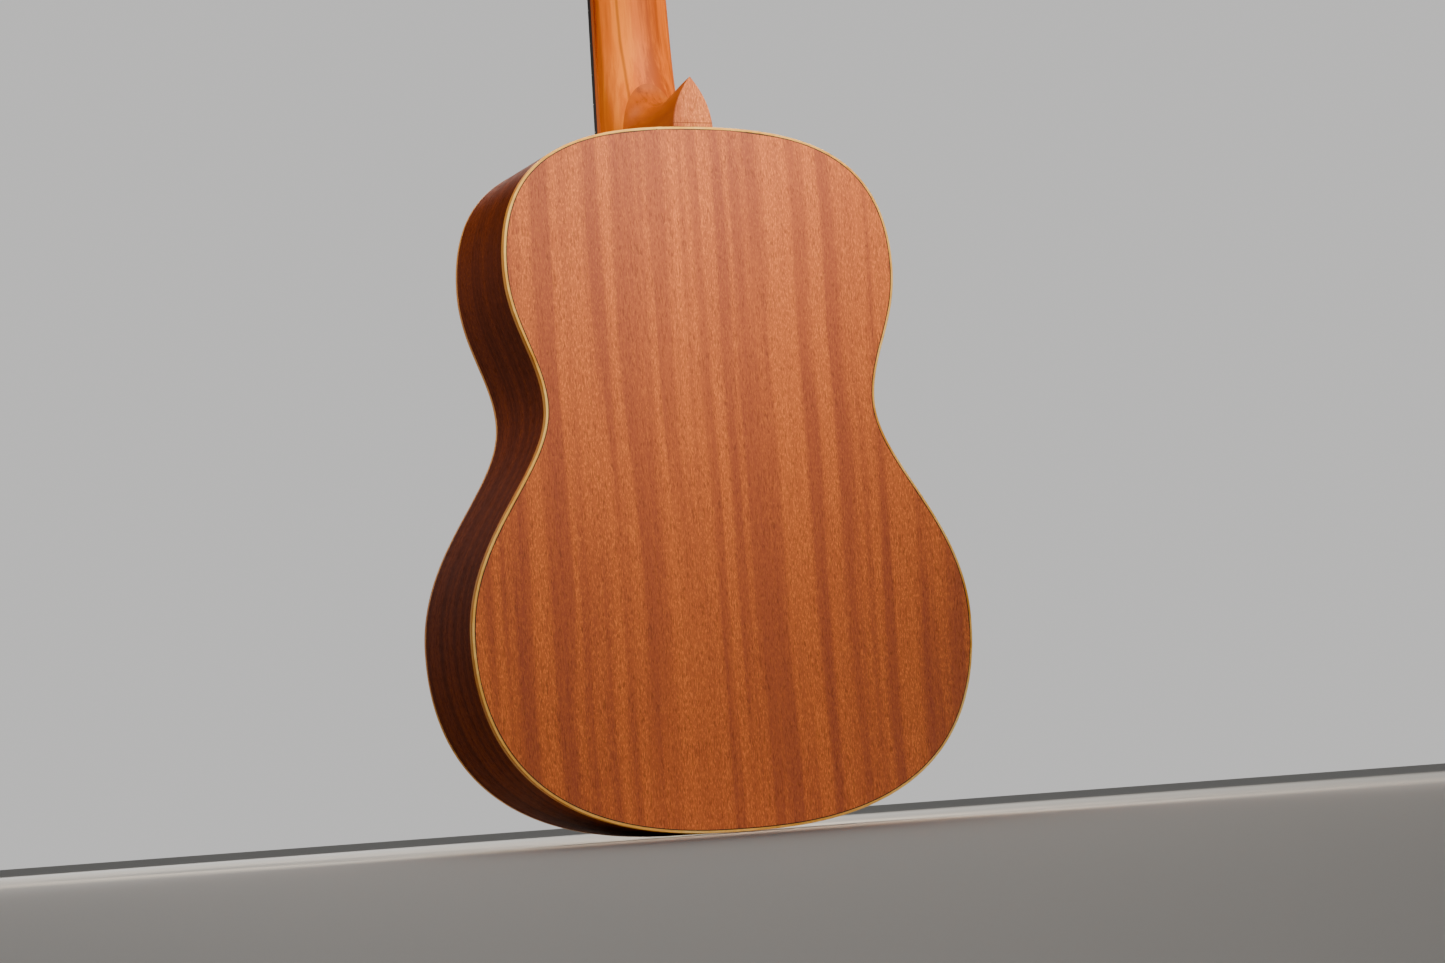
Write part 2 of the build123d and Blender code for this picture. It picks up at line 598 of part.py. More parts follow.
def gear_face():
    """Fourteen straight-flanked teeth; one points along the section's own y axis."""
    step = 2 * pi / TEETH
    radii = (GEAR_PITCH_R - DEDENDUM, GEAR_PITCH_R + ADDENDUM)
    halves = (0.88, 0.30)
    points = []
    for k in range(TEETH):
        middle = pi / 2 + k * step
        for radius, half in ((radii[0], -halves[0]), (radii[1], -halves[1]),
                             (radii[1], halves[1]), (radii[0], halves[0])):
            angle = middle + half / radius
            points.append((radius * cos(angle), radius * sin(angle)))
    return make_face(Polyline(*points, close=True))


def gear():
    """A wheel with slanted teeth, and the slotted screw that holds it on the roller."""
    slant = degrees(TOOTH_PITCH / (2 * pi * WORM_PITCH_R) * GEAR_FACE / 2 / GEAR_PITCH_R)
    faces = [Pos(0, 0, z_sign * GEAR_FACE / 2) * Rot(0, 0, z_sign * slant) * gear_face()
             for z_sign in (-1, 1)]
    wheel = Pos(GEAR_X, 0, POST_DEPTH) * Rot(0, 90, 0) * loft(faces, ruled=True)
    outer = GEAR_X + GEAR_FACE / 2
    wheel = wheel - along_x(ROLLER_NECK, GEAR_X - GEAR_FACE, GEAR_X)
    slot = Pos(outer + 1.2, 0, POST_DEPTH) * Rot(40, 0, 0) * Box(1.2, 6, 0.7)
    return wheel + (along_x(2.5, outer, outer + 1.2) - slot)


def string_roller():
    roller = along_x(ROLLER_R, 4.4, HEAD_HALF - 0.2) + along_x(ROLLER_NECK, HEAD_HALF - 0.2, GEAR_X)
    for x in ROLLER_STRING_X[1:]:
        roller = roller - Pos(x, 0, POST_DEPTH) * Cylinder(0.8, 12)
    return roller


def worm_shaft():
    """A one-start worm between its bearings, on a shaft that runs on into the button."""
    lead = TOOTH_PITCH
    start = -2 * lead + (0.5 - 0.75) * lead
    helix = Helix(lead, 4 * lead, WORM_PITCH_R)
    inner, outer = SHAFT_R - 0.25, WORM_PITCH_R + ADDENDUM + 0.3
    slope, half = tan(radians(20)), lead / 4 - 0.15
    rows = [(radius - WORM_PITCH_R, half - (radius - WORM_PITCH_R) * slope)
            for radius in (inner, outer)]
    tooth = Polyline((rows[0][0], -rows[0][1]), (rows[1][0], -rows[1][1]),
                     (rows[1][0], rows[1][1]), (rows[0][0], rows[0][1]), close=True)
    section = Plane(origin=helix @ 0, x_dir=(1, 0, 0), z_dir=helix % 0) * make_face(tooth)
    thread = Pos(0, 0, start) * sweep(section, path=helix, is_frenet=True)
    thread = thread & Cylinder(WORM_PITCH_R + ADDENDUM, 2 * TAB_IN - 0.6)
    top, bottom = TAB_OUT + 0.6, BUTTON_Z - POST_DEPTH - 10
    shaft = Pos(0, 0, (top + bottom) / 2) * Cylinder(SHAFT_R, top - bottom)
    collar_low = -TAB_OUT - 0.25
    collar = Pos(0, 0, collar_low - 0.9) * Cylinder(2.6, 1.8)
    return Pos(GEAR_X, WORM_OFFSET, POST_DEPTH) * (thread + shaft + collar)


def button():
    sections = [Pos(0, 0, BUTTON_Z - drop) * Ellipse(wide, thick)
                for drop, wide, thick in ((0, 3.2, 3.0), (2.5, 4.6, 3.6), (7.5, 10.2, 4.5),
                                          (12.0, 10.6, 4.5), (15.5, 8.0, 3.2))]
    knob = Rot(0, 0, 90) * loft(sections) - Pos(0, 0, BUTTON_Z - 5) * Cylinder(SHAFT_R, 10)
    return Pos(GEAR_X, WORM_OFFSET, 0) * knob


def placed(shape, post, bass):
    at_head = head_plane() * Pos(0, post, 0) * shape
    return mirrored(at_head) if bass else at_head


# ---- the whole guitar -------------------------------------------------------------------
def screws_and_holes():
    screws = [placed(plate_screw(), y, bass) for bass in (False, True) for y in screw_places()]
    shanks = [placed(along_x(SCREW_R, HEAD_HALF + PLATE_T - 9.5, HEAD_HALF + PLATE_T), y, bass)
              for bass in (False, True) for y in screw_places()]
    return screws, shanks


def body_nodes():
    nodes = {}
    rosette = rosette_ring()
    nodes["end_block"], nodes["neck_block"] = [end_block()], [neck_block()]
    blocks = nodes["end_block"][0] + nodes["neck_block"][0]
    treble = {"side": side(), "back": back_half(), "soundboard": top_half(rosette)}
    for name, shape in treble.items():
        nodes[name + "_treble"], nodes[name + "_bass"] = [shape], [mirrored(shape)]
    nodes["rosette"] = [rosette]
    for name, shape in (("back_binding", back_binding()), ("top_binding", top_binding()),
                        ("back_purfling", back_purfling()), ("top_purfling", top_purfling())):
        nodes[name] = [shape, mirrored(shape)]
    nodes["end_graft"] = [end_graft()]
    for name, shape in zip(("back_linings", "top_linings"), linings(blocks)):
        nodes[name] = [shape, mirrored(shape)]
    inside = inner_volume(LINING_INSET) - blocks
    braces = back_braces(inside)
    nodes["back_braces"], nodes["seam_strips"] = braces[:3], braces[3:]
    braces = top_braces(inside)
    nodes["harmonic_bars"], nodes["fan_struts"] = braces[:2], braces[2:]
    return nodes


def neck_nodes():
    heel = whole_heel()
    screws, shanks = screws_and_holes()
    head = headstock()
    for shank in shanks:
        head = head - shank
    return {"neck_shaft": [neck_shaft()], "heel": [heel & under_back(HEEL_CAP_T)],
            "heel_cap": [between_back(heel, 0, HEEL_CAP_T)], "headstock": [head],
            "head_veneer": [head_veneer()], "fingerboard": [fingerboard()], "frets": frets(),
            "nut": [nut()], "bridge": [bridge()], "saddle": [saddle()],
            "tie_block_trim": tie_block_trim(), "plate_screws": screws}


def tuner_nodes():
    nodes = {}
    plate = head_plane() * tuner_plate()
    nodes["tuner_plate_treble"], nodes["tuner_plate_bass"] = [plate], [mirrored(plate)]
    shapes = {"worm_shaft": worm_shaft(), "button": button(), "gear": gear(),
              "string_roller": string_roller()}
    for index in range(6):
        post = posts()[min(index, 5 - index)]
        for name, shape in shapes.items():
            nodes[f"{name}_{6 - index}"] = [placed(shape, post, index < 3)]
    return nodes


def string_nodes():
    return {"strings_bass": [string(index) for index in (0, 1, 2)],
            "strings_treble": [string(index) for index in (3, 4, 5)]}


def write_parts():
    os.makedirs("parts", exist_ok=True)
    for nodes in (body_nodes(), neck_nodes(), tuner_nodes(), string_nodes()):
        for name, pieces in nodes.items():
            solids = [solid for piece in pieces for solid in piece.solids()]
            shape = solids[0] if len(solids) == 1 else Compound(children=solids)
            export_step(shape, f"parts/{name}.step")


write_parts()
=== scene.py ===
"""Looks for the classical guitar: materials, rims, string ends, light and camera.

Lengths named here repeat the CAD model's, in millimetres.
"""
import math

import bpy
from mathutils import Matrix, Vector


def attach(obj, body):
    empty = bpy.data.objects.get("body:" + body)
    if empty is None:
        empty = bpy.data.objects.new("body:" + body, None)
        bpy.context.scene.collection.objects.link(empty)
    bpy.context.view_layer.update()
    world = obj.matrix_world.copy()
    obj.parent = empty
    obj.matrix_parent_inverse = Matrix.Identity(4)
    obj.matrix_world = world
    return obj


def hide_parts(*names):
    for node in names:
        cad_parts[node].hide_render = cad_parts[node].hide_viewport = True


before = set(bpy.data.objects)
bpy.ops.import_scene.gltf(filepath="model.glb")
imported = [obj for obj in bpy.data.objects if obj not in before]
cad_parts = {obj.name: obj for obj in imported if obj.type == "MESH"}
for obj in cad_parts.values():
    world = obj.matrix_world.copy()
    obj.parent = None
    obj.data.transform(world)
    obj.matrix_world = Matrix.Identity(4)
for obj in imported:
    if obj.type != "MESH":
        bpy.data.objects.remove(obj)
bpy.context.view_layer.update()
MM = 0.001

# ---- the body's outline, as in the CAD model, in millimetres ------------------------------
BODY_LENGTH, DEPTH_TAIL, DEPTH_HEEL, ARCH_RADIUS = 488.0, 104.0, 102.0, 9000.0
STOPS = ((0.0, 0.0), (186.3, 138.0), (123.5, 293.7), (146.2, 390.0), (0.0, BODY_LENGTH))
WAYS = ((1, 0), (0, 1), (0, 1), (0, 1), (-1, 0))
HANDLES = ((48.0, 137.5), (71.2, 44.7), (32.5, 40.5), (85.2, 79.4))
BINDING_T, BACK_BINDING_H, TOP_BINDING_H = 1.7, 4.8, 3.8
FRONT_Y = -DEPTH_TAIL / 2


def outline(count):
    """Points and inward normals all round the body, anticlockwise from the tail."""
    half = []
    for i, (pull_a, pull_b) in enumerate(HANDLES):
        a, d = Vector(STOPS[i]), Vector(STOPS[i + 1])
        b, c = a + Vector(WAYS[i]) * pull_a, d - Vector(WAYS[i + 1]) * pull_b
        for step in range(count):
            t = step / count
            s = 1 - t
            point = s ** 3 * a + 3 * s ** 2 * t * b + 3 * s * t * t * c + t ** 3 * d
            way = (s ** 2 * (b - a) + 2 * s * t * (c - b) + t * t * (d - c)).normalized()
            half.append((point, Vector((-way.y, way.x))))
    top = (Vector((0.0, BODY_LENGTH)), Vector((0.0, -1.0)))
    mirrored = [(Vector((-p.x, p.y)), Vector((-n.x, n.y))) for p, n in reversed(half[1:])]
    return half + [top] + mirrored


def back_y(x, z):
    """Height of the back's outer surface over the middle of the body."""
    fall = (DEPTH_TAIL - DEPTH_HEEL) * z / BODY_LENGTH
    return DEPTH_TAIL / 2 - fall - (ARCH_RADIUS - math.sqrt(ARCH_RADIUS ** 2 - x * x))


def mesh_object(name, verts, faces):
    mesh = bpy.data.meshes.new(name)
    mesh.from_pydata([Vector(v) * MM for v in verts], [], faces)
    mesh.validate()
    mesh.shade_smooth()
    mesh.set_sharp_from_angle(angle=math.radians(35.0))
    obj = bpy.data.objects.new(name, mesh)
    bpy.context.scene.collection.objects.link(obj)
    return obj


def swept_rim(name, profile, surface, count=72):
    """A closed strip round the body. The profile lists (inset, drop below the surface)."""
    ring = outline(count)
    verts = []
    for point, normal in ring:
        for inset, drop in profile:
            p = point + normal * inset
            verts.append((p.x, surface(p.x, p.y, drop), p.y))
    rows = len(profile)
    faces = []
    for i in range(len(ring)):
        for j in range(rows):
            a, b = i * rows + j, i * rows + (j + 1) % rows
            c, d = (i + 1) % len(ring) * rows + (j + 1) % rows, (i + 1) % len(ring) * rows + j
            faces.append((a, b, c, d))
    return mesh_object(name, verts, faces)


# ---- node graphs --------------------------------------------------------------------------
class Graph:
    """A material's node tree, with short ways to add nodes."""

    def __init__(self, name):
        self.material = bpy.data.materials.new(name)
        self.material.use_nodes = True
        self.tree = self.material.node_tree
        self.shader = self.tree.nodes["Principled BSDF"]
        self.place = self.node("ShaderNodeTexCoord").outputs["Object"]
        parts = self.node("ShaderNodeSeparateXYZ", {0: self.place})
        self.x, self.y, self.z = parts.outputs

    def node(self, kind, inputs=None, **settings):
        made = self.tree.nodes.new(kind)
        for key, value in settings.items():
            setattr(made, key, value)
        for key, value in (inputs or {}).items():
            self.put(made.inputs[key], value)
        return made

    def put(self, socket, value):
        if isinstance(value, bpy.types.NodeSocket):
            self.tree.links.new(value, socket)
        else:
            socket.default_value = value

    def math(self, operation, a, b=0.0, c=0.0):
        return self.node("ShaderNodeMath", {0: a, 1: b, 2: c}, operation=operation).outputs[0]

    def scaled(self, vector, scale):
        made = self.node("ShaderNodeVectorMath", {0: vector, 1: scale}, operation="MULTIPLY")
        return made.outputs[0]

    def moved(self, vector, offset):
        made = self.node("ShaderNodeVectorMath", {0: vector, 1: offset}, operation="ADD")
        return made.outputs[0]

    def vector(self, x, y, z):
        return self.node("ShaderNodeCombineXYZ", {0: x, 1: y, 2: z}).outputs[0]

    def noise(self, vector, scale, detail=2.0, rough=0.5, distortion=0.0):
        made = self.node("ShaderNodeTexNoise", {"Vector": vector, "Scale": scale, "Detail": detail,
                                                "Roughness": rough, "Distortion": distortion})
        return made.outputs["Fac"]

    def span(self, value, low, high, to_low=0.0, to_high=1.0, smooth=True):
        kind = "SMOOTHSTEP" if smooth else "LINEAR"
        made = self.node("ShaderNodeMapRange", {0: value, 1: low, 2: high, 3: to_low, 4: to_high},
                         interpolation_type=kind)
        return made.outputs[0]

    def mix(self, factor, a, b, blend="MIX"):
        made = self.node("ShaderNodeMix", data_type="RGBA", blend_type=blend)
        self.put(made.inputs["Factor"], factor)
        self.put(made.inputs["A"], a)
        self.put(made.inputs["B"], b)
        return made.outputs["Result"]

    def bump(self, height, distance, strength=1.0):
        made = self.node("ShaderNodeBump", {"Height": height, "Distance": distance,
                                            "Strength": strength})
        self.tree.links.new(made.outputs[0], self.shader.inputs["Normal"])

    def finish(self, color, roughness, **fixed):
        self.put(self.shader.inputs["Base Color"], color)
        self.put(self.shader.inputs["Roughness"], roughness)
        for key, value in fixed.items():
            socket = key.replace("_", " ").title().replace("Ior", "IOR")
            self.shader.inputs[socket].default_value = value
        return self.material


def srgb(r, g, b):
    """A colour given as 0 to 255 display values, as linear light."""
    def line(v):
        v /= 255
        return v / 12.92 if v <= 0.04045 else ((v + 0.055) / 1.055) ** 2.4
    return (line(r), line(g), line(b), 1.0)


def ribbon_wood(name, dark, light, across, seed, gloss=0.46, shine=0.4, ruled_z=None):
    """Ribbon-striped sapele: soft stripes along the grain, fine streaks and short open pores.

    across holds how fast the figure changes along X, Y and Z: 1 across the grain, little along it.
    """
    g = Graph(name)
    slow = g.noise(g.moved(g.place, seed), 5.0, 1.0)
    waver = g.math("MULTIPLY_ADD", slow, 0.012, -0.006)
    sway = g.vector(*[g.math("MULTIPLY", waver, a) for a in across])
    place = g.moved(g.moved(g.place, seed), sway)

    def stretched(scale, along):
        return g.scaled(place, [scale * (a + (1 - a) * along) for a in across])

    ribbon = g.span(g.noise(stretched(86.0, 0.016), 1.0, 2.0, 0.5), 0.36, 0.62)
    broad = g.noise(stretched(16.0, 0.08), 1.0, 2.0)
    streak = g.noise(stretched(320.0, 0.020), 1.0, 3.0, 0.6)
    pores = g.span(g.noise(stretched(1300.0, 0.16), 1.0, 1.0, 0.5), 0.55, 0.68)
    fleck = g.noise(g.moved(stretched(1500.0, 0.26), (7.0, 3.0, 5.0)), 1.0, 1.0, 0.5)
    fleck = g.span(fleck, 0.50, 0.64)
    tone = g.math("MULTIPLY_ADD", g.math("SUBTRACT", streak, 0.5), 1.1, ribbon)
    tone = g.math("MULTIPLY_ADD", g.math("SUBTRACT", broad, 0.5), 0.7, tone)
    color = g.mix(g.span(tone, -0.25, 1.25, smooth=False), dark, light)
    fleck = g.math("MULTIPLY", fleck, g.math("MULTIPLY_ADD", ribbon, 0.7, 0.3))
    lit = [min(1.0, light[0] * 1.5), min(1.0, light[1] * 1.75), min(1.0, light[2] * 1.45), 1.0]
    color = g.mix(g.math("MULTIPLY", fleck, 0.72), color, lit)
    deep = [c * 0.45 for c in dark[:3]] + [1.0]
    color = g.mix(g.math("MULTIPLY", pores, 0.50), color, deep)
    if ruled_z is not None:
        offset = g.math("ABSOLUTE", g.math("SUBTRACT", g.z, ruled_z))
        color = g.mix(g.span(offset, 0.00020, 0.00042, 0.85, 0.0), color, deep)
    g.bump(g.math("SUBTRACT", 1.0, pores), 0.00012, 0.35)
    rough = g.math("MULTIPLY_ADD", pores, 0.16, gloss)
    return g.finish(color, rough, specular_ior_level=shine)


def plain_wood(name, dark, mid, light, across, seed, gloss=0.4, fine=520.0, coarse=38.0, bump=0.2,
               line_depth=0.5, coat=0.0, shine=0.4, vein_x=None, wall_painted_shade=None):
    """Straight-grained wood: broad tone changes, growth lines and short fibres along the grain."""
    g = Graph(name)
    place = g.moved(g.place, seed)
    sway = g.math("MULTIPLY_ADD", g.noise(place, 4.0, 1.0), 0.008, -0.004)
    place = g.moved(place, g.vector(*[g.math("MULTIPLY", sway, a) for a in across]))

    def stretched(scale, along):
        return g.scaled(place, [scale * (a + (1 - a) * along) for a in across])

    broad = g.noise(stretched(coarse, 0.05), 1.0, 2.0)
    lines = g.noise(stretched(fine * 0.45, 0.012), 1.0, 2.0, 0.6)
    fibre = g.noise(stretched(fine * 2.4, 0.05), 1.0, 2.0, 0.6)
    tone = g.math("MULTIPLY_ADD", g.math("SUBTRACT", lines, 0.5), line_depth, broad)
    tone = g.math("MULTIPLY_ADD", g.math("SUBTRACT", fibre, 0.5), 0.35 * line_depth, tone)
    color = g.mix(g.span(tone, 0.30, 0.50), dark, mid)
    color = g.mix(g.span(tone, 0.48, 0.72), color, light)
    if vein_x is not None:
        waver = g.noise(g.scaled(g.place, (3.0, 3.0, 14.0)), 1.0, 3.0)
        middle = g.math("MULTIPLY_ADD", waver, 0.004, vein_x - 0.002)
        offset = g.math("ABSOLUTE", g.math("SUBTRACT", g.x, middle))
        vein = [c * 0.55 for c in dark[:3]] + [1.0]
        color = g.mix(g.span(offset, 0.0002, 0.0016, 0.55, 0.0), color, vein)
    # Painted shade: where the normal turns away from the Y axis, as on the binding's outer wall, the
    # colour is multiplied by a darker amber that stands in for the shade on that wall.
    if wall_painted_shade is not None:
        normal = g.node("ShaderNodeNewGeometry").outputs["Normal"]
        facing = g.math("ABSOLUTE", g.node("ShaderNodeSeparateXYZ", {0: normal}).outputs[1])
        wall_shade_color = g.mix(1.0, color, wall_painted_shade, "MULTIPLY")
        color = g.mix(g.span(facing, 0.35, 0.85, 1.0, 0.0), color, wall_shade_color)
    g.bump(fibre, 0.00008, bump)
    rough = g.math("MULTIPLY_ADD", fibre, 0.10, gloss - 0.05)
    return g.finish(color, rough, coat_weight=coat, coat_roughness=0.18, specular_ior_level=shine)


def metal(name, color, roughness, brush_axis, wear=0.25):
    """Polished metal with faint brushing and a few duller patches."""
    g = Graph(name)
    brush = g.noise(g.scaled(g.place, [9000.0 if a else 250.0 for a in brush_axis]), 1.0, 2.0)
    cloud = g.noise(g.place, 90.0, 3.0, 0.6)
    dull = [c * 0.72 for c in color[:3]] + [1.0]
    tint = g.mix(g.math("MULTIPLY", g.span(cloud, 0.45, 0.75), wear), color, dull)
    rough = g.math("MULTIPLY_ADD", brush, 0.12, roughness)
    rough = g.math("MULTIPLY_ADD", g.span(cloud, 0.4, 0.8), wear * 0.4, rough)
    g.bump(brush, 0.00002, 0.25)
    return g.finish(tint, rough, metallic=1.0)


def bone(name, color):
    g = Graph(name)
    streak = g.noise(g.scaled(g.place, (60.0, 900.0, 900.0)), 1.0, 3.0)
    warm = [color[0] * 0.93, color[1] * 0.86, color[2] * 0.72, 1.0]
    tint = g.mix(g.span(streak, 0.35, 0.75), color, warm)
    g.bump(streak, 0.00004, 0.15)
    return g.finish(tint, 0.34, subsurface_weight=0.12, subsurface_scale=0.002)


def pearl(name):
    """Pearloid: soft folded clouds of cream, white and a cool grey under a clear gloss."""
    g = Graph(name)
    fold = g.noise(g.place, 170.0, 3.0, 0.55, 2.2)
    cool = g.span(g.noise(g.moved(g.place, (3.0, 1.0, 2.0)), 260.0, 2.0, 0.5, 1.5), 0.45, 0.65)
    tint = g.mix(g.span(fold, 0.38, 0.62), srgb(222, 208, 180), srgb(246, 242, 232))
    tint = g.mix(g.math("MULTIPLY", cool, 0.5), tint, srgb(204, 204, 214))
    g.bump(fold, 0.00003, 0.1)
    rough = g.math("MULTIPLY_ADD", fold, 0.1, 0.16)
    return g.finish(tint, rough, coat_weight=0.4, coat_roughness=0.06)


def assign(names, material):
    for name in names:
        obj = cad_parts[name]
        obj.data.materials.clear()
        obj.data.materials.append(material)


SOUNDHOLE_Z, ROSETTE_IN, ROSETTE_OUT = 332.0, 46.5, 58.0
MOSAIC_TILES, MOSAIC_ROW = 180, 0.0011
INLAY_DARK, INLAY_PALE, INLAY_RED = srgb(26, 16, 12), srgb(232, 200, 142), srgb(150, 62, 30)
INLAY_BANDS = ((0.04, INLAY_PALE), (0.08, INLAY_DARK), (0.12, INLAY_RED), (0.20, INLAY_DARK),
               (0.24, INLAY_PALE), (0.28, INLAY_DARK), (0.69, INLAY_DARK), (0.72, INLAY_PALE),
               (0.76, INLAY_DARK), (0.80, INLAY_RED), (0.88, INLAY_DARK), (0.92, INLAY_PALE),
               (0.96, INLAY_DARK))
BACK_DARK, BACK_LIGHT = srgb(158, 78, 52), srgb(202, 108, 54)
# The sides and end graft are the same sapele as the back. Their colours are partly the wood's own dark
# red-brown and partly painted shade, much darker than the back.
SIDE_SHADED_DARK, SIDE_SHADED_LIGHT = srgb(72, 27, 7), srgb(104, 43, 12)
ACROSS_X, ACROSS_Y = (1.0, 1.0, 0.0), (0.0, 1.0, 0.0)
CAP_LINE_Z = 0.4907                # a dark line let into the heel cap, just above the binding
NECK_VEIN_X = 0.0150               # a darker growth line down the treble side of the neck
for node, seed in (("back_treble", (0, 0, 0)), ("back_bass", (0.61, 0, 0.3))):
    assign([node], ribbon_wood(f"sapele_{node}", BACK_DARK, BACK_LIGHT, ACROSS_X, seed))
assign(["side_treble", "side_bass"], ribbon_wood("sapele_sides", SIDE_SHADED_DARK, SIDE_SHADED_LIGHT, ACROSS_Y,
                                               (0.2, 0.4, 0), gloss=0.55, shine=0.01))
assign(["end_graft"], ribbon_wood("sapele_graft", SIDE_SHADED_DARK, SIDE_SHADED_LIGHT, ACROSS_X, (0.9, 0.4, 0)))
assign(["heel_cap"], ribbon_wood("sapele_cap", srgb(178, 94, 56), srgb(208, 122, 74), ACROSS_X,
                                  (0.31, 0, 0.1), gloss=0.55, shine=0.2, ruled_z=CAP_LINE_Z))

NECK = plain_wood("neck_cedar", srgb(156, 70, 8), srgb(204, 102, 12), srgb(228, 130, 22), ACROSS_X,
                  (0.13, 0.2, 0.0), gloss=0.5, shine=0.12, vein_x=NECK_VEIN_X)
# The heel block has its own grain direction. Its darker tone than the neck is painted shade, standing
# in for the shade on the heel's flank.
HEEL = plain_wood("heel_cedar_painted_shade", srgb(124, 56, 7), srgb(162, 78, 10), srgb(178, 94, 16),
                  (1.0, 0.15, 0.6), (0.5, 0.1, 0.3), gloss=0.5, shine=0.1)
assign(["neck_shaft", "headstock"], NECK)
assign(["heel"], HEEL)
INNER = plain_wood("inner_spruce", srgb(196, 160, 112), srgb(216, 184, 136), srgb(226, 198, 152),
                   (1.0, 1.0, 0.3), (0.1, 0.3, 0.7), gloss=0.7)
assign(["neck_block", "end_block", "back_linings", "top_linings", "back_braces", "seam_strips",
        "harmonic_bars", "fan_struts"], INNER)
EBONY = plain_wood("dark_rosewood", srgb(16, 10, 8), srgb(28, 18, 14), srgb(44, 28, 22), ACROSS_X,
                   (0.3, 0.1, 0.2), gloss=0.5, bump=0.35, shine=0.15)
assign(["fingerboard", "head_veneer"], EBONY)
BRIDGE = plain_wood("bridge_rosewood", srgb(34, 19, 14), srgb(62, 36, 25), srgb(92, 56, 38),
                    (0.0, 1.0, 1.0), (0.7, 0.1, 0.2), gloss=0.40, bump=0.35)
assign(["bridge"], BRIDGE)
SPRUCE = plain_wood("spruce_top", srgb(196, 142, 84), srgb(220, 172, 110), srgb(232, 190, 132),
                    ACROSS_X, (0.2, 0.0, 0.1), gloss=0.26, fine=900.0, coarse=30.0, bump=0.1, coat=0.3)
assign(["soundboard_treble", "soundboard_bass"], SPRUCE)


def rosette_material():
    """Inlaid rings round the soundhole: lines, plain bands and a band of small mosaic tiles."""
    g = Graph("rosette_inlay")
    up = g.math("SUBTRACT", g.z, SOUNDHOLE_Z * MM)
    radius = g.math("SQRT", g.math("ADD", g.math("MULTIPLY", g.x, g.x), g.math("MULTIPLY", up, up)))
    across = g.span(radius, ROSETTE_IN * MM, ROSETTE_OUT * MM, smooth=False)
    ramp = g.node("ShaderNodeValToRGB", {0: across})
    ramp.color_ramp.interpolation = "CONSTANT"
    bands = ramp.color_ramp.elements
    bands.remove(bands[1])
    bands[0].color = INLAY_DARK
    for place, color in INLAY_BANDS:
        bands.new(place).color = color
    turn = g.math("ARCTAN2", up, g.x)
    tiles = g.math("SINE", g.math("MULTIPLY", turn, MOSAIC_TILES / 2))
    rows = g.math("SINE", g.math("MULTIPLY", radius, math.pi / MOSAIC_ROW))
    checks = g.span(g.math("MULTIPLY", tiles, rows), -0.06, 0.06)
    middle = g.math("ABSOLUTE", g.math("SUBTRACT", across, 0.5))
    mosaic = g.mix(checks, srgb(44, 92, 66), srgb(226, 188, 120))
    border = g.span(g.math("ABSOLUTE", tiles), 0.10, 0.24)
    mosaic = g.mix(border, INLAY_DARK, mosaic)
    color = g.mix(g.math("LESS_THAN", middle, 0.19), ramp.outputs[0], mosaic)
    fibre = g.noise(g.scaled(g.place, (900.0, 900.0, 900.0)), 1.0, 2.0)
    color = g.mix(g.math("MULTIPLY", fibre, 0.35), color, INLAY_DARK)
    g.bump(fibre, 0.00003, 0.1)
    rough = g.math("MULTIPLY_ADD", fibre, 0.06, 0.26)
    return g.finish(color, rough, coat_weight=0.3, coat_roughness=0.12)


assign(["rosette"], rosette_material())
# The binding's outer wall is darkened with painted shade by the wall colour given below; its top face
# keeps the maple's own colour.
LIGHT_EDGE = plain_wood("binding_maple", srgb(212, 152, 62), srgb(238, 188, 96),
                        srgb(248, 214, 132), (0.3, 1.0, 0.3), (0.2, 0.2, 0.1), gloss=0.45,
                        bump=0.1, shine=0.05,
                        wall_painted_shade=(0.62, 0.42, 0.22, 1.0))
DARK_LINE = plain_wood("purfling_dark", srgb(30, 18, 14), srgb(52, 30, 22), srgb(70, 42, 30),
                       (0.3, 1.0, 0.3), (0.2, 0.2, 0.1), gloss=0.4, bump=0.1)
assign(["back_purfling", "top_purfling"], DARK_LINE)
assign(["nut", "saddle", "tie_block_trim"], bone("bone", srgb(238, 230, 206)))
assign(["frets"], metal("fret_nickel", srgb(206, 204, 196), 0.22, (0, 1, 1)))
BRASS = metal("tuner_brass", srgb(222, 184, 112), 0.20, (0, 0, 1))
assign(["tuner_plate_treble", "tuner_plate_bass", "plate_screws"], BRASS)
PEARL = pearl("pearl_button")
ROLLER = bone("roller_white", srgb(232, 226, 206))
for number in range(1, 7):
    assign([f"worm_shaft_{number}", f"gear_{number}"], BRASS)
    assign([f"button_{number}"], PEARL)
    assign([f"string_roller_{number}"], ROLLER)
WOUND = metal("wound_silver", srgb(200, 194, 182), 0.32, (0, 0, 1))
NYLON = bone("nylon", srgb(226, 220, 206))
assign(["strings_bass"], WOUND)
assign(["strings_treble"], NYLON)


EASED = {"bridge": 0.5, "nut": 0.35, "headstock": 0.6, "head_veneer": 0.35, "fingerboard": 0.3,
         "tuner_plate_treble": 0.3, "tuner_plate_bass": 0.3}
for name, width in EASED.items():
    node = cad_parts[name]
    weld = node.modifiers.new("weld", "WELD")
    weld.merge_threshold = 1e-6
    eased = node.modifiers.new("eased_edges", "BEVEL")
    eased.width = width * MM
    eased.segments = 3
    eased.limit_method = "ANGLE"
    eased.angle_limit = math.radians(40.0)
    eased.use_clamp_overlap = True


def rounded_corner(radius, inset, drop, steps=5):
    """Profile points round the outer edge: from the wall to the face."""
    rows = []
    for k in range(steps + 1):
        a = k / steps * math.pi / 2
        rows.append((inset + radius * (1 - math.cos(a)), drop + radius * (1 - math.sin(a))))
    return rows


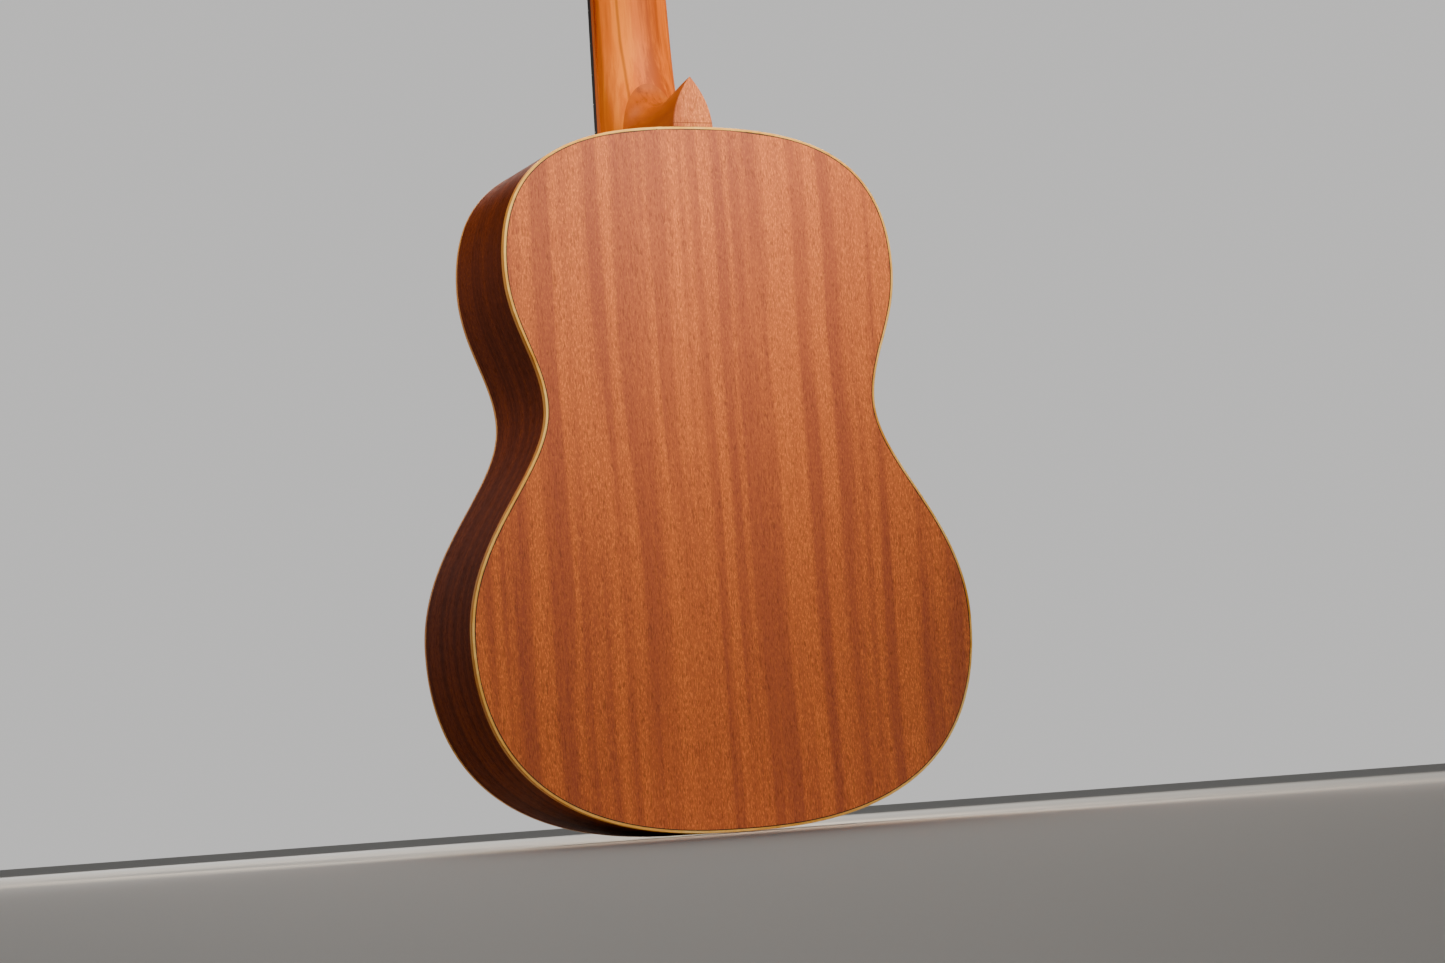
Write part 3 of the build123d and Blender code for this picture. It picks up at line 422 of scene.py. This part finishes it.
back_rim = swept_rim("back_binding_rim",
                     [(0.0, BACK_BINDING_H), *rounded_corner(0.5, 0.0, 0.0), (BINDING_T, 0.0),
                      (BINDING_T, BACK_BINDING_H)],
                     lambda x, z, drop: back_y(x, z) - drop)
top_rim = swept_rim("top_binding_rim",
                    [(0.0, TOP_BINDING_H), *rounded_corner(0.5, 0.0, 0.0), (BINDING_T, 0.0),
                     (BINDING_T, TOP_BINDING_H)],
                    lambda x, z, drop: FRONT_Y + drop)
for rim, node in ((back_rim, "back_binding"), (top_rim, "top_binding")):
    rim.data.materials.append(LIGHT_EDGE)
    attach(rim, "guitar")
    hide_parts(node)


# ---- string ends --------------------------------------------------------------------------
HEAD_ANGLE, HEAD_Z = math.radians(15.0), 818.0
POSTS, ROLLER_STRING_X = (45.0, 84.0, 123.0), (19.0, 16.0, 14.0)
POST_DEPTH, ROLLER_R, TURNS, STEPS = -6.5, 5.0, 3.5, 20
STRING_D = (1.09, 0.89, 0.74, 1.02, 0.82, 0.71)
BRIDGE_SPACING, TIE_BLOCK_Z, TIE_BLOCK_L, TIE_BLOCK_H = 11.6, 146.5, 12.0, 9.5


def head_point(x, along, up):
    """A point given in the headstock's own frame, as the guitar's millimetres."""
    s, c = math.sin(HEAD_ANGLE), math.cos(HEAD_ANGLE)
    return (x, FRONT_Y + along * s - up * c, HEAD_Z + along * c + up * s)


def strand(name, points, diameter, body, wound):
    """A round strand along a smooth line through the points' hull."""
    curve = bpy.data.curves.new(name, "CURVE")
    curve.dimensions = "3D"
    curve.bevel_depth = diameter / 2 * MM
    curve.bevel_resolution = 3
    curve.resolution_u = 6
    curve.use_fill_caps = True
    line = curve.splines.new("NURBS")
    line.points.add(len(points) - 1)
    for control, point in zip(line.points, points):
        control.co = (*(v * MM for v in point), 1.0)
    line.order_u = 3
    line.use_endpoint_u = True
    obj = bpy.data.objects.new(name, curve)
    bpy.context.scene.collection.objects.link(obj)
    curve.materials.append(WOUND if wound else NYLON)
    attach(obj, body)


def winding(index):
    """Turns round the roller, with the end laid back across them."""
    number, post, side = 6 - index, min(index, 5 - index), 1 if index > 2 else -1
    d, start = STRING_D[index], ROLLER_STRING_X[post]
    points = []
    total = int(TURNS * STEPS)
    for step in range(total + STEPS // 2 + 1):
        angle = step / STEPS * 2 * math.pi
        back = max(0, step - total) / (STEPS // 2)
        radius = ROLLER_R + 0.03 + d / 2 + min(1.0, back * 3) * d
        x = start + min(step, total) / STEPS * d * 1.06 - back * TURNS * d * 0.7
        points.append(head_point(side * x, POSTS[post] + radius * math.sin(angle),
                                 POST_DEPTH + radius * math.cos(angle)))
    strand(f"string_winding_{number}", points, d, f"roller_{number}", index < 3)


def tie(index):
    """The loop at the bridge: round its own string in front of the block, back and tucked."""
    d = STRING_D[index]
    r = d / 2 + 0.03
    x = (index - 2.5) * BRIDGE_SPACING
    over = FRONT_Y - TIE_BLOCK_H - r
    behind, front = TIE_BLOCK_Z - TIE_BLOCK_L / 2 - r, TIE_BLOCK_Z + TIE_BLOCK_L / 2 + r
    points = [(x + 1.6, over, front - 3.4), (x + 1.75, over - 0.05, front - 1.2),
              (x + 1.7, over + 0.6, front + 0.9), (x + 1.0, over + 2.6, front + 2.4),
              (x, over + 3.0, front + 3.0), (x - 1.1, over + 2.2, front + 2.2),
              (x - 1.6, over + 0.4, front + 0.8), (x - 1.6, over - 0.05, front - 1.4),
              (x - 1.3, over - 0.02, TIE_BLOCK_Z), (x - 1.0, over - 0.05, behind + 1.6),
              (x - 0.9, over + 0.1, behind - 0.1), (x - 0.5, over + 1.2, behind - 0.6 * d),
              (x + 0.5, over + 1.8, behind - 1.1 * d), (x + 2.4, over + 2.0, behind - 0.7 * d)]
    strand(f"string_tie_{6 - index}", points, d, "guitar", index < 3)


for index in range(6):
    winding(index)
    tie(index)


# ---- floor, light and camera --------------------------------------------------------------
BACKDROP_WAY = (-0.40, -0.91, 0.10)     # the pale side of the room
# The cosines from that way where the glow starts and is full, and its strength at each.
BACKDROP_LEVELS = (0.86, 0.95, 0.11, 0.74)

bpy.ops.mesh.primitive_plane_add(size=60.0, location=(0, 0, -0.0006))
floor = bpy.context.object
floor.name = "floor"
floor_graph = Graph("floor_pale")
floor.data.materials.append(floor_graph.finish(srgb(232, 230, 226), 0.8))

world = bpy.data.worlds.new("studio")
bpy.context.scene.world = world
world.use_nodes = True
sky = world.node_tree
direction = sky.nodes.new("ShaderNodeTexCoord").outputs["Generated"]
facing = sky.nodes.new("ShaderNodeVectorMath")
facing.operation = "DOT_PRODUCT"
facing.inputs[1].default_value = BACKDROP_WAY
glow = sky.nodes.new("ShaderNodeMapRange")
glow.interpolation_type = "SMOOTHSTEP"
for index, level in enumerate(BACKDROP_LEVELS):
    glow.inputs[index + 1].default_value = level
sky.links.new(direction, facing.inputs[0])
sky.links.new(facing.outputs["Value"], glow.inputs[0])
sky.nodes["Background"].inputs["Color"].default_value = (0.90, 0.89, 0.88, 1.0)
sky.links.new(glow.outputs[0], sky.nodes["Background"].inputs["Strength"])


def softbox(name, place, target, size, power, color=(1.0, 1.0, 1.0), spread=180.0):
    light = bpy.data.lights.new(name, "AREA")
    light.shape = "RECTANGLE"
    light.size, light.size_y = size
    light.energy = power
    light.color = color
    light.spread = math.radians(spread)
    obj = bpy.data.objects.new(name, light)
    obj.location = place
    obj.rotation_euler = (Vector(target) - Vector(place)).to_track_quat("-Z", "Y").to_euler()
    bpy.context.scene.collection.objects.link(obj)


WARM, LAMP = (1.0, 0.93, 0.84), (1.0, 0.82, 0.62)
softbox("key_back", (-0.30, 0.70, 1.08), (0.0, 0.05, 0.52), (0.35, 0.35), 1.95, LAMP,
        spread=48.0)
softbox("fill_back", (-1.3, 1.9, 0.7), (0.0, 0.0, 0.3), (1.2, 1.2), 1.6, WARM)
softbox("kick_side", (0.9, 0.1, 1.50), (0.12, 0.0, 0.50), (0.4, 0.4), 0.7, LAMP, spread=26.0)
softbox("key_front", (-0.7, -1.7, 1.6), (0.0, 0.0, 0.5), (1.2, 1.2), 26.0, WARM)
softbox("fill_front", (0.1, -2.4, 0.6), (0.0, 0.0, 0.5), (1.6, 1.0), 9.0)

FOCAL, YAW, ELEVATION, ROLL, DISTANCE = 3300.0, 23.781, -5.763, -4.221, 2322.4
AIM = (-24.12, 0.0, 245.04)
IMAGE_WIDTH, SENSOR = 1445.0, 36.0
yaw, elevation, roll = (math.radians(v) for v in (YAW, ELEVATION, ROLL))
back = Vector((math.sin(yaw) * math.cos(elevation), math.cos(yaw) * math.cos(elevation),
               math.sin(elevation)))
right = Vector((0, 0, 1)).cross(back).normalized()
up = back.cross(right)
turn, lift = math.cos(roll), math.sin(roll)
right, up = right * turn + up * lift, up * turn - right * lift
camera_data = bpy.data.cameras.new("camera")
camera_data.sensor_width = SENSOR
camera_data.lens = FOCAL / IMAGE_WIDTH * SENSOR
camera_data.clip_start, camera_data.clip_end = 0.01, 100.0
camera = bpy.data.objects.new("camera", camera_data)
bpy.context.scene.collection.objects.link(camera)
camera.matrix_world = Matrix.Translation((Vector(AIM) + back * DISTANCE) * MM) @ Matrix(
    (right, up, back)).transposed().to_4x4()
bpy.context.scene.camera = camera
